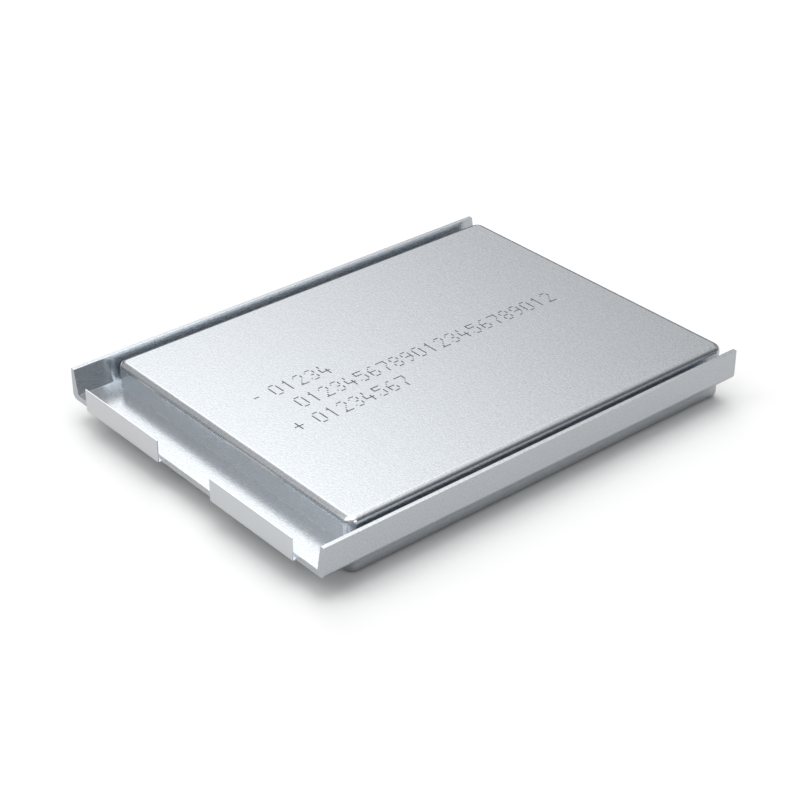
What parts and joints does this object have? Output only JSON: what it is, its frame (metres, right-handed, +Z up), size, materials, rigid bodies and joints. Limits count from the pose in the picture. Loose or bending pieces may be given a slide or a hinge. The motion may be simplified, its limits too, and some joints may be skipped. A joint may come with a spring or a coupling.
{
  "type": "pouch battery cell",
  "caption": "Flat lithium-ion pouch cell: laminate film pouch with folded side seals, a front terrace with bent-up contact tabs, and a stack of electrode plates inside.",
  "frame": {"origin": "middle of the underside that the cell lies on", "axes": "+X across the cell towards the positive tab's side wall, +Y along the cell from the tabs to the folded rear end, +Z up through its thickness"},
  "size_m": [0.048, 0.064, 0.0072],
  "materials": {
    "laminate_film": "satin aluminium laminate film with a fine sparkle grain",
    "nickel_strip": "satin rolled nickel strip",
    "aluminium_strip": "satin rolled aluminium strip",
    "tab_sealant": "milky heat-seal film",
    "polyimide_tape": "amber polyimide tape",
    "separator_film": "white porous film",
    "graphite_on_copper": "matt graphite coating on copper foil",
    "oxide_on_aluminium": "matt oxide coating on aluminium foil"
  },
  "bodies": {
    "cell": {"pouch_film_upper": "laminate_film", "pouch_film_lower": "laminate_film", "negative_tab": "nickel_strip", "positive_tab": "aluminium_strip", "negative_tab_sealant_lower": "tab_sealant", "negative_tab_sealant_upper": "tab_sealant", "positive_tab_sealant_lower": "tab_sealant", "positive_tab_sealant_upper": "tab_sealant", "negative_weld_tape_lower": "polyimide_tape", "negative_weld_tape_upper": "polyimide_tape", "positive_weld_tape_lower": "polyimide_tape", "positive_weld_tape_upper": "polyimide_tape", "separator": "separator_film", "stack_tape_left": "polyimide_tape", "stack_tape_right": "polyimide_tape", "anode_plate_01": "graphite_on_copper", "anode_plate_02": "graphite_on_copper", "anode_plate_03": "graphite_on_copper", "anode_plate_04": "graphite_on_copper", "anode_plate_05": "graphite_on_copper", "anode_plate_06": "graphite_on_copper", "anode_plate_07": "graphite_on_copper", "anode_plate_08": "graphite_on_copper", "anode_plate_09": "graphite_on_copper", "anode_plate_10": "graphite_on_copper", "anode_plate_11": "graphite_on_copper", "anode_plate_12": "graphite_on_copper", "anode_plate_13": "graphite_on_copper", "anode_plate_14": "graphite_on_copper", "anode_plate_15": "graphite_on_copper", "anode_plate_16": "graphite_on_copper", "anode_plate_17": "graphite_on_copper", "anode_plate_18": "graphite_on_copper", "anode_plate_19": "graphite_on_copper", "anode_plate_20": "graphite_on_copper", "anode_plate_21": "graphite_on_copper", "cathode_plate_01": "oxide_on_aluminium", "cathode_plate_02": "oxide_on_aluminium", "cathode_plate_03": "oxide_on_aluminium", "cathode_plate_04": "oxide_on_aluminium", "cathode_plate_05": "oxide_on_aluminium", "cathode_plate_06": "oxide_on_aluminium", "cathode_plate_07": "oxide_on_aluminium", "cathode_plate_08": "oxide_on_aluminium", "cathode_plate_09": "oxide_on_aluminium", "cathode_plate_10": "oxide_on_aluminium", "cathode_plate_11": "oxide_on_aluminium", "cathode_plate_12": "oxide_on_aluminium", "cathode_plate_13": "oxide_on_aluminium", "cathode_plate_14": "oxide_on_aluminium", "cathode_plate_15": "oxide_on_aluminium", "cathode_plate_16": "oxide_on_aluminium", "cathode_plate_17": "oxide_on_aluminium", "cathode_plate_18": "oxide_on_aluminium", "cathode_plate_19": "oxide_on_aluminium", "cathode_plate_20": "oxide_on_aluminium"},
    "negative_leg": {"negative_tab_leg": "nickel_strip"},
    "positive_leg": {"positive_tab_leg": "aluminium_strip"}
  },
  "joints": [
    {"name": "negative_tab_bend", "type": "hinge", "parent": "cell", "child": "negative_leg", "pos_m": [-0.01281, -0.0318, 0.00338], "axis": [1, 0, 0], "range_deg": [0, 90]},
    {"name": "positive_tab_bend", "type": "hinge", "parent": "cell", "child": "positive_leg", "pos_m": [0.01197, -0.0318, 0.00338], "axis": [1, 0, 0], "range_deg": [0, 90]}
  ]
}
